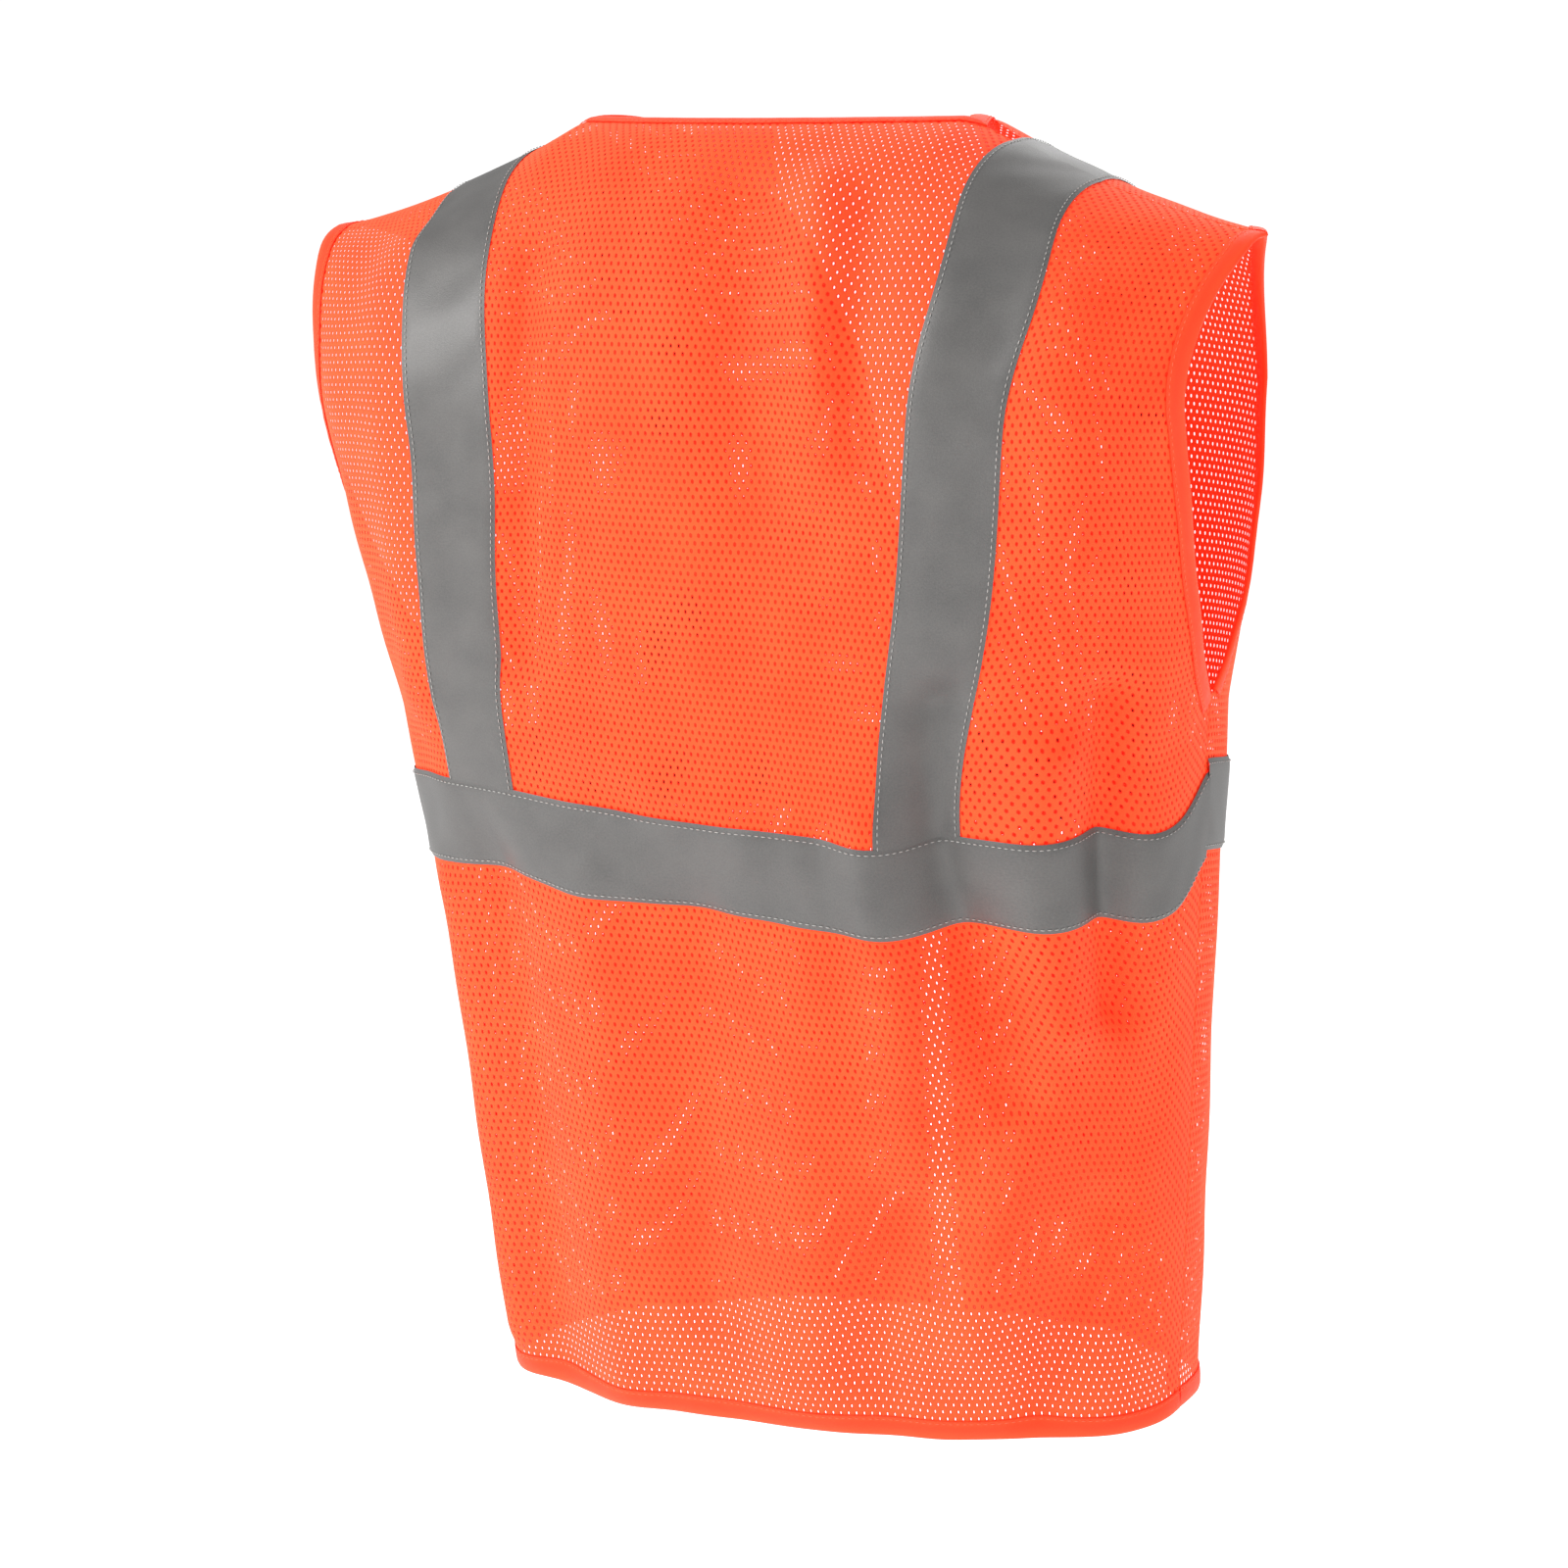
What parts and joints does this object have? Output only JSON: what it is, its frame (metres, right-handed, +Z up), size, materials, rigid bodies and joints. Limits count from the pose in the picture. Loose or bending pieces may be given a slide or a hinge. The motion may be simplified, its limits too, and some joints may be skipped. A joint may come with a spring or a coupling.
{
  "type": "high visibility safety vest",
  "caption": "Sleeveless mesh safety vest with reflective shoulder and waist bands, bound edges, patch pockets and a front zipper, shaped as worn.",
  "frame": {"origin": "midway between the two neck points of the shoulder seams, where the wearer's shoulders carry the vest", "axes": "+Z up from hem to shoulders, -Y towards the garment's front and zipper, +X towards the wearer's left"},
  "size_m": [0.5714, 0.2956, 0.72],
  "materials": {
    "mesh_fabric": "matt knitted polyester mesh with small holes",
    "edge_binding": "fine woven binding, slightly glossy",
    "reflective_tape": "glass-bead reflective, soft silver-grey",
    "zipper_tape": "woven",
    "zipper_teeth": "moulded coil",
    "zipper_metal": "plated",
    "neck_label": "satin woven, blank"
  },
  "bodies": {
    "back": {"armhole_binding_back_left": "edge_binding", "armhole_binding_back_right": "edge_binding", "back_panel": "mesh_fabric", "hem_binding_back": "edge_binding", "neck_binding_back": "edge_binding", "neck_label": "neck_label", "shoulder_band_back_left": "reflective_tape", "shoulder_band_back_right": "reflective_tape", "shoulder_seam_allowance_left": "edge_binding", "shoulder_seam_allowance_right": "edge_binding", "side_seam_allowance_left": "edge_binding", "side_seam_allowance_right": "edge_binding", "waist_band_back": "reflective_tape"},
    "front_right": {"armhole_binding_front_right": "edge_binding", "front_panel_right": "mesh_fabric", "hem_binding_right": "edge_binding", "lower_pocket_right": "mesh_fabric", "lower_pocket_right_binding": "edge_binding", "neck_binding_front_right": "edge_binding", "shoulder_band_front_right": "reflective_tape", "waist_band_front_right": "reflective_tape", "zipper_insertion_pin": "zipper_metal", "zipper_tape_right": "zipper_tape", "zipper_teeth_right": "zipper_teeth", "zipper_top_stop_right": "zipper_metal"},
    "front_left": {"armhole_binding_front_left": "edge_binding", "chest_pocket_left": "mesh_fabric", "chest_pocket_left_binding": "edge_binding", "front_panel_left": "mesh_fabric", "hem_binding_left": "edge_binding", "lower_pocket_left": "mesh_fabric", "lower_pocket_left_binding": "edge_binding", "neck_binding_front_left": "edge_binding", "shoulder_band_front_left": "reflective_tape", "waist_band_front_left": "reflective_tape", "zipper_retainer_box": "zipper_metal", "zipper_tape_left": "zipper_tape", "zipper_teeth_left": "zipper_teeth", "zipper_top_stop_left": "zipper_metal"},
    "slider": {"zipper_slider": "zipper_metal"},
    "pull_tab": {"zipper_pull_tab": "zipper_metal"}
  },
  "joints": [
    {"name": "front_right_opens", "type": "hinge", "parent": "back", "child": "front_right", "pos_m": [-0.203, -0.014, -0.71], "axis": [0.1316, 0, -0.9913], "range_deg": [0, 40]},
    {"name": "front_left_opens", "type": "hinge", "parent": "back", "child": "front_left", "pos_m": [0.203, -0.014, -0.71], "axis": [0.1316, 0, 0.9913], "range_deg": [0, 40]},
    {"name": "slider_travels", "type": "slide", "parent": "front_left", "child": "slider", "axis": [0, 0, 1], "range_m": [0, 0.418]},
    {"name": "pull_tab_flips", "type": "hinge", "parent": "slider", "child": "pull_tab", "pos_m": [0.0047, -0.1565, -0.68815], "axis": [-1, 0, 0], "range_deg": [0, 150]}
  ]
}
